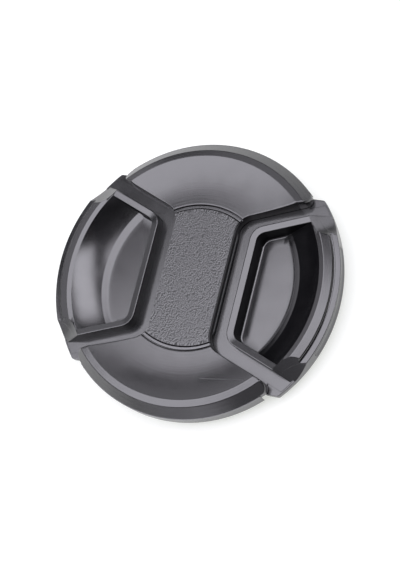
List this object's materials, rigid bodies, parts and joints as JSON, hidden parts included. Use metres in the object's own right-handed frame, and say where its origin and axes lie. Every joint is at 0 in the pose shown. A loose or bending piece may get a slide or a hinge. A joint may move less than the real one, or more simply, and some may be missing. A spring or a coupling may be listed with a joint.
{
  "type": "camera lens cap",
  "caption": "Round centre-pinch lens cap with a dished front cover, a leather-grained centre plate and sprung latches with finger wells that grip a filter ring's thread.",
  "frame": {"origin": "on the optical axis, at the rear rim that the cap lies on", "axes": "+Z out of the front of the cap along the optical axis, +X through the latches towards the right-hand one"},
  "size_m": [0.0632, 0.0602, 0.0088],
  "materials": {
    "base_plastic": "moulded black ABS, fine satin",
    "cover_plastic": "moulded black ABS, satin with faint turned marks",
    "grained_plastic": "moulded black ABS with an embossed leather grain",
    "latch_plastic": "moulded black ABS, fine satin",
    "spring_wire": "drawn spring steel wire"
  },
  "bodies": {
    "base": {"base": "base_plastic", "front_cover": "cover_plastic", "centre_plate": "grained_plastic", "upper_spring": "spring_wire", "lower_spring": "spring_wire"},
    "left_latch": {"left_latch": "latch_plastic"},
    "right_latch": {"right_latch": "latch_plastic"}
  },
  "joints": [
    {"name": "left_latch_slide", "type": "slide", "parent": "base", "child": "left_latch", "axis": [1, 0, 0], "range_m": [0, 0.0022], "stiffness_N_per_m": 600, "springref_m": -0.003, "deforming": ["upper_spring", "lower_spring"]},
    {"name": "right_latch_slide", "type": "slide", "parent": "base", "child": "right_latch", "axis": [-1, 0, 0], "range_m": [0, 0.0022], "stiffness_N_per_m": 600, "springref_m": -0.003, "deforming": ["upper_spring", "lower_spring"]}
  ]
}
